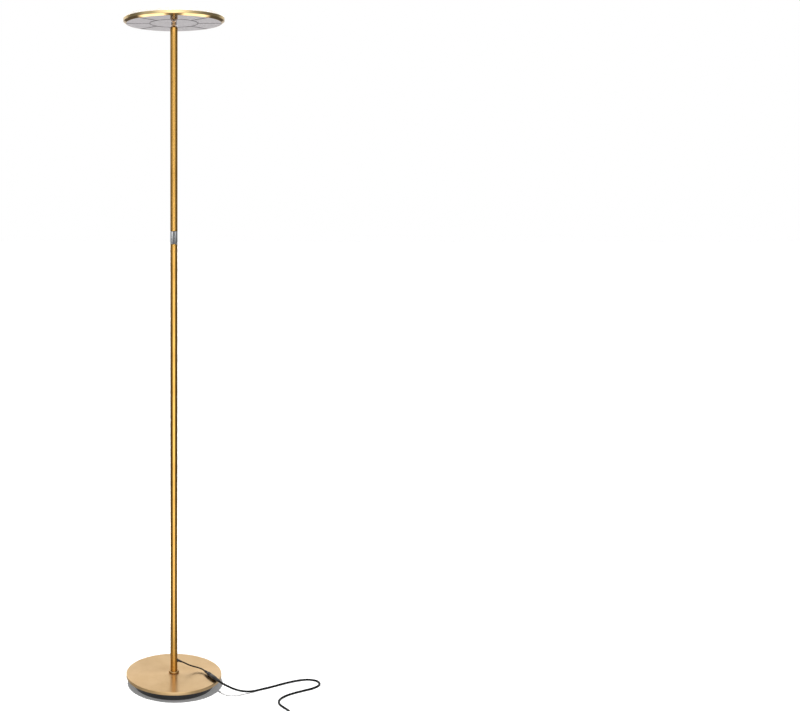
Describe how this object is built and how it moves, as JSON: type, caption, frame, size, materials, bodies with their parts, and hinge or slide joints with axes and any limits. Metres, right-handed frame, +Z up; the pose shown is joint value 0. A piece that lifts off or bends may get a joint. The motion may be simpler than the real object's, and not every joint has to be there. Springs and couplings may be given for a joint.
{
  "type": "torchiere floor lamp",
  "caption": "Slim torchiere floor lamp: tilting flat disc head lit from above, two-piece brass pole with chrome touch ring, weighted round base, low-voltage lead and adapter.",
  "frame": {"origin": "centre of the foot ring's underside, on the floor under the pole", "axes": "+Z up along the pole, -Y to the front, +X to the side where the lead leaves the pole"},
  "size_m": [0.479, 0.394, 1.6],
  "materials": {
    "satin_brass": "satin brushed",
    "head_brass": "satin brushed brass finish",
    "base_brass": "satin, radially brushed",
    "polished_brass": "polished",
    "clear_acrylic": "clear polished edge, frosted inside",
    "frosted_sheet": "matt translucent",
    "back_plate": "high gloss",
    "bare_aluminium": "mill",
    "white_board": "solder mask",
    "emitter": "phosphor",
    "reflector": "matt",
    "zinc_steel": "zinc plated",
    "chrome": "mirror",
    "tongue_brass": "antique, polished",
    "fork_brass": "antique, polished",
    "black_nylon": "satin",
    "white_wire": "satin",
    "red_wire": "satin",
    "green_board": "solder mask",
    "cast_iron": "rough cast",
    "shell_black": "semi-gloss moulded",
    "foam_black": "matt foam",
    "grommet_black": "satin",
    "cable_black": "satin",
    "connector_black": "satin moulded",
    "blade_nickel": "nickel plated"
  },
  "bodies": {
    "stand": {"upper_tube": "satin_brass", "lower_tube": "satin_brass", "pole_cap": "satin_brass", "base_cover": "base_brass", "foot_collar": "polished_brass", "fork_nut": "zinc_steel", "friction_washers": "zinc_steel", "upper_bush": "zinc_steel", "joint_nipple": "zinc_steel", "lower_bush": "zinc_steel", "foot_bush": "zinc_steel", "shell_screws": "zinc_steel", "tie_rod": "zinc_steel", "rod_washer": "zinc_steel", "rod_nut": "zinc_steel", "touch_ring": "chrome", "pivot_screws": "chrome", "hinge_fork": "fork_brass", "upper_washer": "black_nylon", "ring_core": "black_nylon", "lower_washer": "black_nylon", "pole_wire": "white_wire", "touch_wire": "red_wire", "dimmer_board": "green_board", "base_weight": "cast_iron", "base_shell": "shell_black", "foot_ring": "foam_black", "grommet": "grommet_black", "inner_lead": "cable_black", "lamp_lead": "cable_black", "supply_lead": "cable_black", "supply_coil": "cable_black", "supply_lead_end": "cable_black", "lamp_connector": "connector_black", "supply_connector": "connector_black", "adapter_relief": "connector_black", "adapter_case": "connector_black", "coil_tie": "connector_black", "adapter_blades": "blade_nickel"},
    "head": {"lens": "clear_acrylic", "diffusion_sheet": "frosted_sheet", "head_pan": "head_brass", "trim_ring": "polished_brass", "back_plate": "back_plate", "heat_spreader": "bare_aluminium", "led_board": "white_board", "led_chips": "emitter", "reflector_sheet": "reflector", "board_screws": "zinc_steel", "lens_screws": "zinc_steel", "mount_plate": "zinc_steel", "mount_screws": "zinc_steel", "head_wire": "white_wire", "hinge_tongue": "tongue_brass", "tongue_nut": "zinc_steel"}
  },
  "joints": [
    {"name": "head_tilt", "type": "hinge", "parent": "stand", "child": "head", "pos_m": [0, 0, 1.5795], "axis": [1, 0, 0], "range_deg": [-45, 45]}
  ]
}
